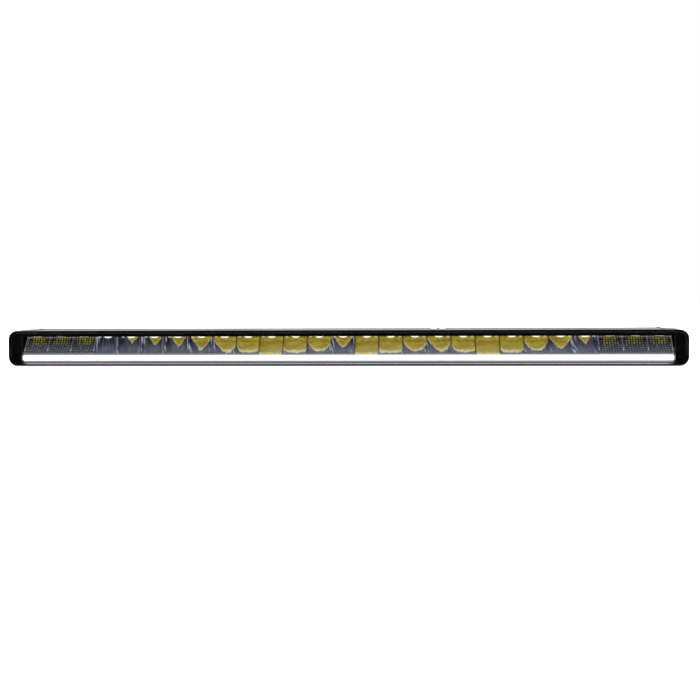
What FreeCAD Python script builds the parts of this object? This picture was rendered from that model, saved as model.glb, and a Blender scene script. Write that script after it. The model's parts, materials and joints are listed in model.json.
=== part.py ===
import FreeCAD, Part
import math
import os

# LED light bar: a long single-row driving light with a position-light strip along its foot.
# X runs along the bar, the lens faces -Y, and Z is up. The origin is the middle of the
# whole light's underside, feet included. All lengths are millimetres.
# "Depth" is measured from the front face of the bezel towards the back.

# ---- overall sizes -------------------------------------------------------------------
bar_length = 1060.0
face_height = 56.0
corner_radius = 14.0
bezel_depth = 13.0
wall = 3.0
total_depth = 116.0          # front of the bezel to the back of the feet

# ---- front: bezel, lens, trim --------------------------------------------------------
rim_round = 2.4              # radius of the bezel's front edge
rim_width = 3.0              # black rim that shows around the lens
ledge_width = 5.0            # frame behind the lens, which carries its seal
ledge_front = 4.4
lens_recess = 0.9
lens_thickness = 3.0
lens_chamfer = 1.0
slack = 0.2                  # room between parts that are laid in one another
trim_front = 4.6
trim_back = 9.0
window_bottom = 8.0
window_top = 46.2
window_half = 509.4
sill_drop = 2.4

# ---- optics --------------------------------------------------------------------------
cell_pitch = 37.7
spot_cells_per_module = 7
spot_modules = 3
flood_cells = 3
reflector_front = 9.2
reflector_bottom = 17.0
aperture_bottom = 19.4
reflector_top = 46.0
reflector_wall = 2.0
spot_focal = 9.1             # focal length of the spot bowls
spot_vertex = 38.0           # depth of the bottom of a bowl
flood_focal = 7.6            # a flood bowl is a trough: curved in height, straight across
flood_vertex = 32.5
flood_side_wall = 1.2
flood_side_top = 30.5        # depth at which the front edge of a side wall meets the top
module_gap = 0.4
screw_flange_front = 34.4
screw_flange_back = 38.8
screw_flange_thickness = 3.0
optic_screw_depth = 36.6

# ---- boards --------------------------------------------------------------------------
board_thickness = 1.6
board_front = 14.4
board_back = 40.0
board_bottom = 46.2
pad_thickness = 0.4
led_half_width = 6.5
led_base_height = 1.0
led_drop = 3.0               # how far a domed light source hangs below its board
flat_led_height = 0.8        # the flood cells have flat light sources without a dome
led_depth_half = 3.6

# ---- position light ------------------------------------------------------------------
strip_half = 508.5
strip_bottom = 8.3
strip_top = 16.9
strip_front = 7.4
strip_head = 4.5             # depth of the wide front part of the light guide
strip_back = 16.5
strip_neck = 1.4             # how much lower the guide's neck is, top and bottom
tray_wall = 1.0
tray_back = 21.8
strip_led_pitch = cell_pitch / 2
strip_led_count = 54

# ---- driver --------------------------------------------------------------------------
driver_half = 120.0
driver_bottom = 7.0
driver_front = 24.5
driver_back = 42.5
driver_middle = (driver_front + driver_back) / 2
driver_top = driver_bottom + board_thickness
driver_post_radius = 3.0
driver_post_hole = 1.6
driver_post_inset = 6.0
driver_screw_tip = 2.2
inductor_half = 5.0
inductor_height = 5.0
inductor_xs = (-95.0, -55.0, 25.0, 65.0)
capacitor_radius = 3.6
capacitor_height = 6.5
capacitor_xs = (-75.0, -35.0, 45.0, 85.0)
chip_half = 3.2
chip_height = 1.2
chip_xs = (-14.0, 12.0, 100.0)

# ---- housing extrusion ---------------------------------------------------------------
housing_half = 492.0
housing_front = 13.8
housing_bottom = 0.3
housing_top = 55.7           # along its front edge, just below the bezel's top
roof_rise = 2.0              # how much higher the top is at its back edge
roof_groove = 0.7
shelf_bottom = board_bottom + board_thickness + pad_thickness
shelf_back = 40.2
sill_top = 6.4
sill_back = 24.0
rear_wall_front = 44.0
rear_wall_back = 48.0
fin_back = 60.0
fin_thickness = 2.2
slot_middle = 28.0
slot_half = 7.5              # T-slot, inside half height
slot_mouth_half = 4.3
slot_front = 50.0
slot_lip_front = 57.5
slot_back = 61.0
slot_block_half = 10.2

# ---- end caps ------------------------------------------------------------------------
cap_gasket = 1.0
cap_end = 526.0
cap_plan_radius = 26.0
cap_edge_radius = 9.0
bezel_screw_x = 521.5
bezel_screw_spacing = 28.0
bezel_screw_seat = 20.0
cap_collar = 4.0
cap_collar_rise = 0.6

# ---- brackets ------------------------------------------------------------------------
bracket_x = 300.0
pivot_depth = 80.0
pivot_height = 28.0
pivot_bolt_radius = 4.0
pivot_clearance = 0.06
tongue_half = 6.0
tongue_radius = 9.0
ear_thickness = 4.0
ear_gap = 0.3
ear_radius = 10.0
foot_half = 22.0
foot_thickness = 4.0
foot_front = 78.0
foot_hole_depth = 104.0
foot_hole_radius = 4.4
t_nut_half = 22.0
flange_front = 61.2
flange_back = 65.2
flange_half_height = 9.0
lug_screw_x = 15.6
m6_radius = 3.0

# ---- rear fittings -------------------------------------------------------------------
gland_x = 150.0
gland_height = 48.5
gland_thread_radius = 6.0
gland_hex_flats = 17.0
cable_radius = 3.5
vent_x = -150.0
vent_height = 10.6

FRONT_Y = -total_depth / 2
X_AXIS = FreeCAD.Vector(1, 0, 0)
Y_AXIS = FreeCAD.Vector(0, 1, 0)
Z_AXIS = FreeCAD.Vector(0, 0, 1)


def at(x, depth, z):
    """A point given by its place along the bar, its depth behind the face and its height."""
    return FreeCAD.Vector(x, FRONT_Y + depth, z)


def block(x0, x1, depth0, depth1, z0, z1):
    return Part.makeBox(x1 - x0, depth1 - depth0, z1 - z0, at(x0, depth0, z0))


def prism(outline, x0, x1):
    """A section drawn in depth and height, swept along the bar."""
    corners = [at(x0, depth, z) for depth, z in outline]
    face = Part.Face(Part.makePolygon(corners + corners[:1]))
    return face.extrude(X_AXIS * (x1 - x0))


def along_x(radius, x0, x1, depth, z):
    return Part.makeCylinder(radius, x1 - x0, at(x0, depth, z), X_AXIS)


def along_y(radius, x, depth0, depth1, z):
    return Part.makeCylinder(radius, depth1 - depth0, at(x, depth0, z), Y_AXIS)


def along_z(radius, x, depth, z0, z1):
    return Part.makeCylinder(radius, z1 - z0, at(x, depth, z0), Z_AXIS)


def hexagon(flats, thickness, centre, axis, turn=0.0):
    """A hexagonal prism on an axis through centre."""
    radius = flats / 2 / math.cos(math.radians(30))
    points = []
    for corner in range(7):
        angle = math.radians(60 * corner + turn)
        points.append(FreeCAD.Vector(radius * math.cos(angle), radius * math.sin(angle), 0))
    solid = Part.Face(Part.makePolygon(points)).extrude(Z_AXIS * thickness)
    solid.Placement = FreeCAD.Placement(centre, FreeCAD.Rotation(Z_AXIS, axis))
    return solid


def rounded_slab(inset, depth0, depth1):
    """The face outline, drawn in by inset all round and swept from one depth to another."""
    half = bar_length / 2 - inset
    slab = block(-half, half, depth0, depth1, inset, face_height - inset)
    uprights = [e for e in slab.Edges if is_parallel(e, Y_AXIS)]
    return slab.makeFillet(corner_radius - inset, uprights)


def is_parallel(edge, axis):
    first, last = edge.Vertexes[0].Point, edge.Vertexes[-1].Point
    return (last - first).cross(axis).Length < 1e-6


def edges_on_line(shape, axis, test):
    """Straight edges of a shape that run along axis and whose middle passes the test."""
    found = []
    for edge in shape.Edges:
        if len(edge.Vertexes) == 2 and is_parallel(edge, axis):
            middle = (edge.Vertexes[0].Point + edge.Vertexes[1].Point) * 0.5
            if test(middle.x, middle.y - FRONT_Y, middle.z):
                found.append(edge)
    return found


def joined(shapes):
    first = shapes[0]
    return first.fuse(shapes[1:]).removeSplitter() if len(shapes) > 1 else first


def mirrored(shape):
    return shape.mirror(FreeCAD.Vector(0, 0, 0), X_AXIS)


def save(name, shapes):
    """Writes one node, as one solid or as a group of separate solids."""
    group = shapes if isinstance(shapes, list) else [shapes]
    solids = [solid for shape in group for solid in shape.Solids]
    for solid in solids:
        if not solid.isValid() or solid.Volume <= 0:
            raise RuntimeError("bad solid in " + name)
    whole = solids[0] if len(solids) == 1 else Part.makeCompound(solids)
    whole.exportStep("parts/" + name + ".step")


# ---- front ---------------------------------------------------------------------------
def front_bezel():
    """One-piece frame with a pocket for the lens and a ledge behind it."""
    frame = rounded_slab(0.0, 0.0, bezel_depth)
    front_edges = [e for e in frame.Edges if all(abs(v.Y - FRONT_Y) < 1e-6 for v in e.Vertexes)]
    frame = frame.makeFillet(rim_round, front_edges)
    frame = frame.cut(rounded_slab(rim_width, -1.0, ledge_front))
    frame = frame.cut(rounded_slab(ledge_width, 0.0, bezel_depth + 1.0))
    boss = block(bezel_screw_x - 5.0, bar_length / 2 - 4.0, trim_back + slack, bezel_depth, 9.0, 47.0)
    frame = joined([frame, boss, mirrored(boss)])
    return frame.cut([along_y(1.5, x, trim_back + 0.8, housing_front, z) for x, z in bezel_screw_places()])


def bezel_screw_places():
    """Four screws pull the bezel onto the end caps from behind."""
    middle = face_height / 2
    heights = (middle - bezel_screw_spacing / 2, middle + bezel_screw_spacing / 2)
    return [(x, z) for x in (-bezel_screw_x, bezel_screw_x) for z in heights]


def bezel_screw(x, z):
    """Socket-head screw whose head sits at the bottom of a deep hole in the end cap."""
    head = along_y(2.8, x, bezel_screw_seat, bezel_screw_seat + 3.0, z)
    shank = along_y(1.4, x, trim_back + 1.2, bezel_screw_seat, z)
    socket = hexagon(2.5, 2.0, at(x, bezel_screw_seat + 1.4, z), Y_AXIS)
    return joined([head, shank]).cut(socket)


def lens():
    """Clear cover with a chamfer round its front."""
    plate = rounded_slab(rim_width + slack, lens_recess, lens_recess + lens_thickness)
    front = FRONT_Y + lens_recess
    front_edges = [e for e in plate.Edges if all(abs(v.Y - front) < 1e-6 for v in e.Vertexes)]
    return plate.makeChamfer(lens_chamfer, front_edges)


def lens_seal():
    ring = rounded_slab(rim_width + slack, lens_recess + lens_thickness, ledge_front)
    return ring.cut(rounded_slab(ledge_width, 0.0, bezel_depth))


def bezel_gasket():
    """Flat gasket between the bezel and the housing with its end caps."""
    ring = rounded_slab(1.2, bezel_depth, housing_front)
    return ring.cut(rounded_slab(ledge_width, 0.0, housing_front + 1.0))


def inner_trim():
    """Black mask behind the lens, with one long window whose sill slopes to the front."""
    plate = rounded_slab(ledge_width + slack, trim_front, trim_back)
    window = block(-window_half, window_half, 0.0, trim_back + 1.0, window_bottom, window_top)
    sill = prism(
        [
            (trim_front - 0.5, window_bottom - sill_drop),
            (trim_back + 0.5, window_bottom + 0.1),
            (trim_front - 0.5, window_bottom + 0.1),
        ],
        -window_half,
        window_half,
    )
    return plate.cut([window, sill])


# ---- reflectors ----------------------------------------------------------------------
def parabola(focal, vertex, plane_point):
    """A smooth curve from the bottom of a bowl, in its top plane, out to its front edge."""
    reach = math.sqrt(4 * focal * vertex)
    steps = 14
    curve = Part.BSplineCurve()
    curve.interpolate([
        plane_point(vertex - (reach * step / steps) ** 2 / 4 / focal, reach * step / steps)
        for step in range(steps + 1)
    ])
    return curve


def spot_hollow(vertex):
    """A solid paraboloid whose axis lies in the reflector's top plane and opens to the front."""
    curve = parabola(spot_focal, vertex, lambda depth, radius: at(radius, depth, reflector_top))
    tip, end, centre = at(0, vertex, reflector_top), curve.EndPoint, at(0, 0, reflector_top)
    sides = [Part.LineSegment(end, centre).toShape(), Part.LineSegment(centre, tip).toShape()]
    face = Part.Face(Part.Wire([curve.toShape()] + sides))
    return face.revolve(centre, Y_AXIS, 360)


def flood_hollow(vertex):
    """A parabolic trough along the bar, as wide as a cell."""
    half = cell_pitch / 2
    curve = parabola(flood_focal, vertex, lambda depth, drop: at(-half, depth, reflector_top - drop))
    tip, end, corner = curve.StartPoint, curve.EndPoint, at(-half, 0, reflector_top)
    sides = [Part.LineSegment(end, corner).toShape(), Part.LineSegment(corner, tip).toShape()]
    face = Part.Face(Part.Wire([curve.toShape()] + sides))
    return face.extrude(X_AXIS * cell_pitch)


def flood_side_walls():
    """Thin walls at both sides of a cell, whose front edge leans back towards the top."""
    half = cell_pitch / 2
    outline = [
        (reflector_front, aperture_bottom - 1.0),
        (reflector_front + 1.0, aperture_bottom),
        (flood_side_top, reflector_top),
        (flood_vertex, reflector_top),
        (flood_vertex, aperture_bottom - 1.0),
    ]
    trough = flood_hollow(flood_vertex + 0.5)
    walls = []
    for x in (-half, half - flood_side_wall / 2):
        walls.append(prism(outline, x, x + flood_side_wall / 2).common(trough))
    return walls


def reflector_cell(hollow, vertex, walls):
    """One bowl at the middle of the bar, cut off square at both sides, and thin behind."""
    half = cell_pitch / 2
    envelope = block(-half, half, reflector_front, rear_wall_front, reflector_bottom, reflector_top)
    shell = envelope.common(hollow(vertex + reflector_wall))
    face_front, face_back = reflector_front, reflector_front + 1.2
    floor_top = aperture_bottom + 1.0
    face_plate = block(-half, half, face_front, face_back, reflector_bottom, floor_top)
    floor = block(-half, half, face_front, 21.0, aperture_bottom - 1.6, floor_top)
    flange_bottom = reflector_top - screw_flange_thickness
    flange = block(-half, half, screw_flange_front, screw_flange_back, flange_bottom, reflector_top)
    room = block(-half - 1.0, half + 1.0, 0.0, rear_wall_front, aperture_bottom, reflector_top + 1.0)
    cell = joined([shell, face_plate, floor, flange]).cut(room.common(hollow(vertex)))
    return joined([cell] + walls)


def reflector(middles, cell):
    """A moulded row of bowls with a screw flange along its top rear edge."""
    row = joined([moved(cell, x) for x in middles])
    first = middles[0] - cell_pitch / 2
    last = middles[-1] + cell_pitch / 2
    trims = []
    for x in (first - 1.0, last - module_gap / 2):
        trims.append(block(x, x + 1.0 + module_gap / 2, 0.0, rear_wall_back, 0.0, face_height))
    holes = [along_z(1.7, x, optic_screw_depth, 40.0, 50.0) for x in screw_places(middles)]
    return row.cut(trims + holes)


def screw_places(middles):
    """Optic screws stand between bowls, near the ends and in the middle of a module."""
    first, last = middles[0] + cell_pitch / 2, middles[-1] - cell_pitch / 2
    if len(middles) > flood_cells:
        return [first, (first + last) / 2 - cell_pitch / 2, last]
    return [first, last]


def module_middles():
    """Bowl centres, left to right: flood, three spot modules, flood."""
    count = spot_modules * spot_cells_per_module + 2 * flood_cells
    every = [(cell - (count - 1) / 2) * cell_pitch for cell in range(count)]
    sizes = [flood_cells] + [spot_cells_per_module] * spot_modules + [flood_cells]
    modules = []
    start = 0
    for size in sizes:
        modules.append(every[start:start + size])
        start += size
    return modules


# ---- boards and light sources --------------------------------------------------------
def optic_board(middles):
    first = middles[0] - cell_pitch / 2 + module_gap / 2
    last = middles[-1] + cell_pitch / 2 - module_gap / 2
    top = board_bottom + board_thickness
    plate = block(first, last, board_front, board_back, board_bottom, top)
    holes = [along_z(1.7, x, optic_screw_depth, 40.0, 50.0) for x in screw_places(middles)]
    return plate.cut(holes)


def thermal_pad(middles):
    first = max(middles[0] - cell_pitch / 2 + 1.0, -housing_half + 1.0)
    last = min(middles[-1] + cell_pitch / 2 - 1.0, housing_half - 1.0)
    low = board_bottom + board_thickness
    return block(first, last, board_front + 1.0, screw_flange_front, low, low + pad_thickness)


def light_source(x, depth):
    """A ceramic base with a domed lens that hangs into the bowl at its focus."""
    base = block(
        x - led_half_width,
        x + led_half_width,
        depth - led_depth_half,
        depth + led_depth_half,
        board_bottom - led_base_height,
        board_bottom,
    )
    dome_height = led_drop - led_base_height
    dome = Part.makeSphere(1.0)
    squash = FreeCAD.Matrix()
    squash.scale(led_half_width - 0.4, led_depth_half - 0.3, dome_height)
    dome = dome.transformGeometry(squash)
    dome.translate(at(x, depth, board_bottom - led_base_height))
    below = block(x - 10.0, x + 10.0, depth - 10.0, depth + 10.0, 0.0, board_bottom - led_base_height)
    return joined([base, dome.common(below)])


def flat_light_source(x, depth):
    """A flat light source that stays above the flood trough."""
    return block(
        x - led_half_width,
        x + led_half_width,
        depth - led_depth_half,
        depth + led_depth_half,
        board_bottom - flat_led_height,
        board_bottom,
    )


def optic_screw(x):
    """Pan-head screw through the reflector's flange and the board into the shelf."""
    depth = optic_screw_depth
    under = reflector_top - screw_flange_thickness
    head = along_z(1.9, x, depth, under - 1.8, under)
    shank = along_z(1.4, x, depth, under, shelf_bottom + 4.5)
    return joined([head, shank])


# ---- position light ------------------------------------------------------------------
def light_guide():
    """Opal bar with a wide head that shows and a narrower neck in its tray."""
    neck_front = strip_front + strip_head
    head = block(-strip_half, strip_half, strip_front, neck_front, strip_bottom, strip_top)
    ends = edges_on_line(head, Y_AXIS, lambda x, depth, z: True)
    head = head.makeFillet(2.2, ends)
    neck = block(
        -strip_half + 3.0,
        strip_half - 3.0,
        neck_front - 0.5,
        strip_back,
        strip_bottom + strip_neck,
        strip_top - strip_neck,
    )
    return joined([head, neck])


def light_tray():
    """White channel that carries the guide's neck and its board."""
    half = strip_half - 3.5
    front = strip_front + strip_head + 0.3
    outer = block(-half, half, front, tray_back, strip_bottom, strip_top - slack)
    inner = block(
        -half - 1.0,
        half + 1.0,
        front - 1.0,
        tray_back - tray_wall,
        strip_bottom + tray_wall,
        strip_top - slack - tray_wall,
    )
    return outer.cut(inner)


def strip_board():
    half = strip_half - 5.0
    back = tray_back - tray_wall
    low = strip_bottom + tray_wall + 0.1
    return block(-half, half, back - 1.2, back, low, strip_top - slack - tray_wall - 0.1)


def strip_leds():
    middle = (strip_bottom + strip_top) / 2
    back = tray_back - tray_wall - 1.2
    found = []
    for index in range(strip_led_count):
        x = (index - (strip_led_count - 1) / 2) * strip_led_pitch
        found.append(block(x - 1.75, x + 1.75, back - 1.9, back, middle - 1.4, middle + 1.4))
    return found


# ---- driver --------------------------------------------------------------------------
def driver_board():
    plate = block(-driver_half, driver_half, driver_front, driver_back, driver_bottom, driver_top)
    posts = [along_z(driver_post_hole, x, depth, 0.0, driver_top + 1.0) for x, depth in driver_posts()]
    return plate.cut(posts)


def driver_posts():
    places = []
    for x in (-driver_half + driver_post_inset, 0.0, driver_half - driver_post_inset):
        for depth in (driver_front + driver_post_radius, driver_back - driver_post_radius):
            places.append((x, depth))
    return places


def driver_screw(x, depth):
    head = along_z(2.8, x, depth, driver_top, driver_top + 1.6)
    return joined([head, along_z(1.4, x, depth, driver_screw_tip, driver_top)])


def driver_spacer(x, depth):
    post = along_z(driver_post_radius, x, depth, housing_bottom + wall, driver_bottom)
    return post.cut(along_z(driver_post_hole, x, depth, 0.0, driver_bottom + 1.0))


def on_driver(x, half, height):
    """A square part on the middle line of the driver board."""
    front, back = driver_middle - half, driver_middle + half
    return block(x - half, x + half, front, back, driver_top, driver_top + height)


def driver_inductors():
    return [on_driver(x, inductor_half, inductor_height) for x in inductor_xs]


def driver_capacitors():
    high = driver_top + capacitor_height
    return [along_z(capacitor_radius, x, driver_middle, driver_top, high) for x in capacitor_xs]


def driver_chips():
    return [on_driver(x, chip_half, chip_height) for x in chip_xs]


# ---- housing and end caps ------------------------------------------------------------
def cap_screw_places():
    """Depth and height of the screw channels that the end caps are screwed into."""
    return [(18.6, 52.0), (18.6, 3.4), (51.2, 46.0), (51.2, 10.0)]


def roof(depth):
    """Height of the housing's top, which falls gently towards the front."""
    return housing_top + roof_rise * (depth - housing_front) / (fin_back - 2.0 - housing_front)


def section_blocks(x0, x1):
    """The housing's section as blocks: walls, shelf, sill, fins and the T-slot's walls."""
    low, high = housing_bottom, housing_top
    solids = [
        block(x0, x1, housing_front, shelf_back, shelf_bottom, high),
        block(x0, x1, housing_front, rear_wall_back, high - wall, high),
        block(x0, x1, housing_front, sill_back, low, sill_top),
        block(x0, x1, housing_front, rear_wall_back, low, low + wall),
        block(x0, x1, rear_wall_front, rear_wall_back, low, high),
        block(
            x0,
            x1,
            rear_wall_back,
            slot_back,
            slot_middle - slot_block_half,
            slot_middle + slot_block_half,
        ),
    ]
    back = fin_back - 2.0
    slope = [(housing_front, high - wall), (housing_front, high), (back, roof(back)), (back, high - 2.4)]
    solids.append(prism(slope, x0, x1))
    for side in (-1, 1):
        for step in range(3):
            height = slot_middle + side * (13.9 + 5.9 * step)
            reach = fin_back - 0.9 * step
            low_edge = height - fin_thickness / 2
            solids.append(block(x0, x1, rear_wall_back, reach, low_edge, low_edge + fin_thickness))
        edge = slot_middle + side * (face_height / 2 - 0.3)
        low_edge = min(edge, edge - side * 2.4)
        solids.append(block(x0, x1, rear_wall_back, fin_back - 2.0, low_edge, low_edge + 2.4))
    return solids


def housing():
    """Extruded channel, open to the front, with a T-slot and fins along its back."""
    x0, x1 = -housing_half, housing_half
    body = joined(section_blocks(x0, x1))
    bosses = []
    holes = []
    for depth, z in cap_screw_places():
        if depth > rear_wall_back:
            bosses.append(along_x(3.4, x0, x1, depth, z))
        holes.append(along_x(1.6, x0 - 1.0, x1 + 1.0, depth, z))
    body = body.fuse(bosses).removeSplitter()
    inside = block(
        x0 - 1.0,
        x1 + 1.0,
        slot_front,
        slot_lip_front,
        slot_middle - slot_half,
        slot_middle + slot_half,
    )
    mouth = block(
        x0 - 1.0,
        x1 + 1.0,
        slot_front,
        slot_back + 1.0,
        slot_middle - slot_mouth_half,
        slot_middle + slot_mouth_half,
    )
    body = body.cut([inside, mouth] + holes)
    for depth in (54.0, 50.0, 46.0, 42.0):
        body = body.cut(block(x0 - 1.0, x1 + 1.0, depth - 0.6, depth + 0.6, roof(depth) - roof_groove, 60.0))
    pocket = block(gland_x - 11.5, gland_x + 11.5, rear_wall_back, 70.0, slot_middle + slot_block_half, 60.0)
    bore = along_y(gland_thread_radius + 0.1, gland_x, 40.0, 50.0, gland_height)
    nut_room = block(gland_x - 9.5, gland_x + 9.5, shelf_back, rear_wall_front, 38.0, gland_height + 7.2)
    vent_pocket = block(vent_x - 8.5, vent_x + 8.5, rear_wall_back, 70.0, 3.0, slot_middle - slot_block_half)
    vent_bore = along_y(4.1, vent_x, 40.0, 50.0, vent_height)
    body = body.cut([pocket, bore, nut_room, vent_pocket, vent_bore])
    screws = []
    for middles in module_middles():
        for x in screw_places(middles):
            screws.append(along_z(1.5, x, optic_screw_depth, shelf_bottom - 1.0, shelf_bottom + 5.0))
    for x, depth in driver_posts():
        screws.append(along_z(1.5, x, depth, 1.8, 5.0))
    return body.cut(screws)


def cap_outline(back, rise):
    """Side view of the housing's envelope, out to a given depth and a little proud of it."""
    return [
        (housing_front, housing_bottom),
        (housing_front, housing_top + rise),
        (back, roof(back) + rise),
        (back, housing_bottom),
    ]


def end_gasket():
    """Right-hand flat gasket between the extrusion and its end cap."""
    x0, x1 = housing_half, housing_half + cap_gasket
    ring = prism(cap_outline(rear_wall_back, 0.0), x0, x1)
    hollow = block(
        x0 - 1.0,
        x1 + 1.0,
        housing_front - 1.0,
        rear_wall_front,
        sill_top,
        shelf_bottom,
    )
    ring = ring.cut(hollow)
    tab_half = 4.2
    tabs = []
    holes = []
    for depth, z in cap_screw_places():
        if depth > rear_wall_back:
            tabs.append(block(x0, x1, rear_wall_back - 1.0, depth + tab_half, z - tab_half, z + tab_half))
        holes.append(along_x(2.0, x0 - 1.0, x1 + 1.0, depth, z))
    return joined([ring] + tabs).cut(holes)


def end_cap():
    """Right-hand cap: a hollow rounded end that carries on the housing's outline."""
    x0 = housing_half + cap_gasket
    body = prism(cap_outline(slot_back, 0.0), x0, cap_end)
    corner = edges_on_line(body, Z_AXIS, lambda x, depth, z: x > cap_end - 1 and depth > slot_back - 1)
    body = body.makeFillet(cap_plan_radius, corner)
    rims = [
        edge
        for edge in body.Edges
        if not is_parallel(edge, Z_AXIS)
        and edge.BoundBox.XMax > x0 + 1.0
        and edge.BoundBox.YMax > FRONT_Y + housing_front + 1.0
        and not (edge.BoundBox.XLength < 0.01 and edge.BoundBox.XMax < x0 + 0.01)
    ]
    body = body.makeFillet(cap_edge_radius, rims)
    rise = cap_collar_rise
    collar = prism(cap_outline(slot_back + rise, rise), x0, x0 + cap_collar)
    collar_edges = edges_on_line(collar, X_AXIS, lambda x, depth, z: depth > slot_back - 1)
    collar = collar.makeFillet(3.0, collar_edges)
    body = joined([body, collar])
    room = block(x0 - 1.0, cap_end - 9.0, housing_front - 1.0, rear_wall_front, sill_top, shelf_bottom)
    cuts = [room]
    for depth, z in cap_screw_places():
        cuts.append(along_x(1.9, x0 - 1.0, cap_end + 1.0, depth, z))
        cuts.append(along_x(3.3, cap_end - cap_screw_sink(depth), cap_end + 1.0, depth, z))
    for x, z in bezel_screw_places():
        cuts.append(along_y(1.7, x, housing_front - 1.0, bezel_screw_seat + 1.0, z))
        cuts.append(along_y(3.1, x, bezel_screw_seat, slot_back + 1.0, z))
    return body.cut(cuts)


def cap_screw_sink(depth):
    """How far a cap screw's head is sunk below the cap's end; deeper where the plan is rounded."""
    return 22.0 if depth > rear_wall_back else 9.0


def cap_screws():
    """Right-hand set of socket-head screws that pull the cap onto the extrusion."""
    found = []
    for depth, z in cap_screw_places():
        seat = cap_end - cap_screw_sink(depth)
        head = along_x(2.9, seat, seat + 3.2, depth, z)
        socket = hexagon(2.5, 2.0, at(seat + 1.6, depth, z), X_AXIS)
        shank = along_x(1.5, housing_half - 12.0, seat, depth, z)
        found.append(joined([head, shank]).cut(socket))
    return found


# ---- rear fittings -------------------------------------------------------------------
def gland_body():
    """Cable gland: thread through the rear wall, hexagon outside, bore for the lead."""
    thread = along_y(gland_thread_radius, gland_x, shelf_back + 0.1, rear_wall_back, gland_height)
    collar = hexagon(gland_hex_flats, 4.0, at(gland_x, rear_wall_back + 0.8, gland_height), Y_AXIS, 90.0)
    barrel = along_y(6.8, gland_x, rear_wall_back + 4.8, rear_wall_back + 9.0, gland_height)
    join = along_y(gland_thread_radius, gland_x, rear_wall_back - 0.5, rear_wall_back + 1.0, gland_height)
    body = joined([thread, collar, barrel, join])
    seat = along_y(5.2, gland_x, rear_wall_back + 1.0, rear_wall_back + 9.5, gland_height)
    bore = along_y(cable_radius + 0.8, gland_x, 30.0, 70.0, gland_height)
    return body.cut([seat, bore])


def gland_cap():
    """Domed gland nut that squeezes the seal."""
    outer = hexagon(gland_hex_flats, 5.0, at(gland_x, rear_wall_back + 5.1, gland_height), Y_AXIS, 90.0)
    nose = Part.makeCone(7.6, 5.4, 4.0, at(gland_x, rear_wall_back + 10.1, gland_height), Y_AXIS)
    body = joined([outer, nose])
    inside = along_y(6.9, gland_x, rear_wall_back + 5.0, rear_wall_back + 9.2, gland_height)
    bore = along_y(cable_radius + 0.8, gland_x, 30.0, 70.0, gland_height)
    return body.cut([inside, bore])


def gland_seal():
    ring = along_y(5.1, gland_x, rear_wall_back + 1.1, rear_wall_back + 9.1, gland_height)
    return ring.cut(along_y(cable_radius, gland_x, 30.0, 70.0, gland_height))


def gland_washer():
    ring = along_y(8.0, gland_x, rear_wall_back, rear_wall_back + 0.8, gland_height)
    return ring.cut(along_y(gland_thread_radius + 0.1, gland_x, 30.0, 70.0, gland_height))


def gland_nut():
    nut = hexagon(14.0, 3.2, at(gland_x, rear_wall_front - 3.3, gland_height), Y_AXIS)
    return nut.cut(along_y(gland_thread_radius + 0.05, gland_x, 30.0, 70.0, gland_height))


def pressure_vent():
    """Breather plug with a slotted cap, which lets the housing's air out and keeps water out."""
    thread = along_y(4.0, vent_x, 42.5, rear_wall_back, vent_height)
    flange = along_y(7.0, vent_x, rear_wall_back, rear_wall_back + 4.0, vent_height)
    dome = Part.makeCone(7.0, 5.0, 1.6, at(vent_x, rear_wall_back + 4.0, vent_height), Y_AXIS)
    body = joined([thread, flange, dome])
    slots = []
    for index in range(6):
        slot = Part.makeBox(1.4, 1.8, 8.0, at(vent_x - 0.7, rear_wall_back + 1.6, vent_height + 5.4))
        slot.rotate(at(vent_x, rear_wall_back, vent_height), Y_AXIS, 60 * index)
        slots.append(slot)
    channel = along_y(1.8, vent_x, 40.0, rear_wall_back + 2.0, vent_height)
    return body.cut(slots + [channel])


# ---- brackets, drawn at the right-hand bracket ----------------------------------------
def t_nut():
    """Plate that slides in the T-slot and takes the two lug screws."""
    x0, x1 = bracket_x - t_nut_half, bracket_x + t_nut_half
    half = slot_half - 0.3
    plate = block(x0, x1, slot_front + 0.8, slot_lip_front - 0.1, slot_middle - half, slot_middle + half)
    holes = [along_y(m6_radius + 0.02, x, 40.0, 70.0, slot_middle) for x in lug_screw_xs()]
    return plate.cut(holes)


def lug_screw_xs():
    return [bracket_x - lug_screw_x, bracket_x + lug_screw_x]


def pivot_lug():
    """Flange on the slot's lips, key in its mouth, and a tongue that the foot turns on."""
    x0, x1 = bracket_x - t_nut_half, bracket_x + t_nut_half
    flange = block(
        x0,
        x1,
        flange_front,
        flange_back,
        slot_middle - flange_half_height,
        slot_middle + flange_half_height,
    )
    corners = edges_on_line(flange, Y_AXIS, lambda x, depth, z: True)
    flange = flange.makeFillet(3.0, corners)
    key_half = slot_mouth_half - 0.2
    key = block(x0, x1, slot_lip_front + 0.5, flange_front, slot_middle - key_half, slot_middle + key_half)
    tongue_box = block(
        bracket_x - tongue_half,
        bracket_x + tongue_half,
        flange_back - 1.0,
        pivot_depth,
        pivot_height - tongue_radius,
        pivot_height + tongue_radius,
    )
    eye = along_x(tongue_radius, bracket_x - tongue_half, bracket_x + tongue_half, pivot_depth, pivot_height)
    body = joined([flange, key, tongue_box, eye])
    bore = along_x(
        pivot_bolt_radius + pivot_clearance,
        bracket_x - 10.0,
        bracket_x + 10.0,
        pivot_depth,
        pivot_height,
    )
    holes = [along_y(m6_radius + 0.3, x, 50.0, 70.0, slot_middle) for x in lug_screw_xs()]
    return body.cut([bore] + holes)


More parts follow.
